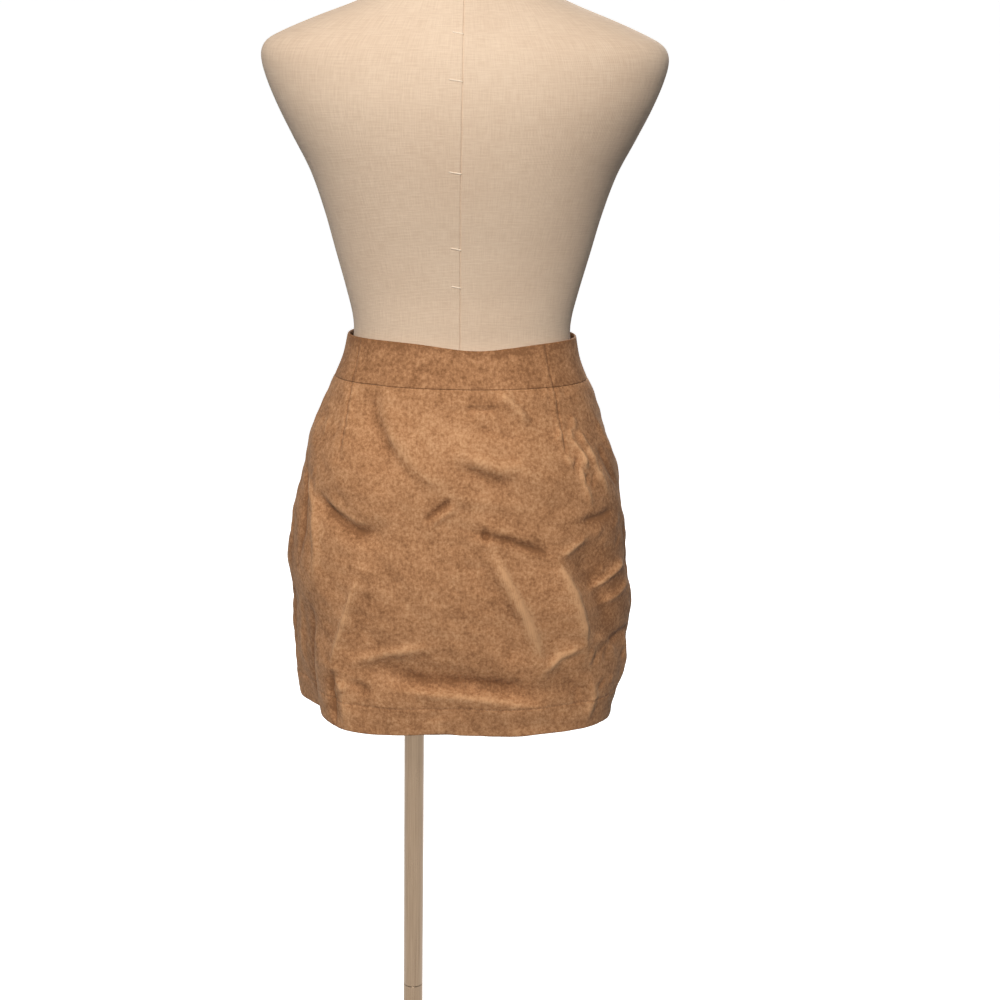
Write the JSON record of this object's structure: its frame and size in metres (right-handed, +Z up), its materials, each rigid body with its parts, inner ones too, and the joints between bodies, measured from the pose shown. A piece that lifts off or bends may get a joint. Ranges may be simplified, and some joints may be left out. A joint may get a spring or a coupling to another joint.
{
  "type": "corduroy skirt on dress form",
  "caption": "Short straight corduroy skirt with a waistband and back darts, worn on a limbless linen dress form on a pole and round base.",
  "frame": {"origin": "on the floor, below the middle of the form; the pole and its round base stand 48 mm from it towards +X", "axes": "+Z up; the garment's front faces -Y and its back, the side with the darts, faces +Y; the wearer's left is +X"},
  "size_m": [0.409, 0.31, 1.46],
  "materials": {
    "corduroy": "fine-wale cotton corduroy, camel tan, soft mottled nap with a slight sheen",
    "zip_tape": "woven polyester tape, dull brown",
    "linen": "close plain-weave natural linen stretched smooth, matt",
    "satin_brass": "satin, pale, slightly brushed lengthways",
    "cream_enamel": "smooth semi-gloss paint"
  },
  "bodies": {
    "root": {"waistband_back": "corduroy", "waistband_front": "corduroy", "back_panel": "corduroy", "front_panel": "corduroy", "side_zip": "zip_tape", "form_torso": "linen", "form_neck_cap": "cream_enamel", "form_socket": "satin_brass", "pole_upper": "satin_brass", "pole_lower": "satin_brass", "base_collar": "satin_brass", "base_plate": "cream_enamel"}
  },
  "joints": []
}
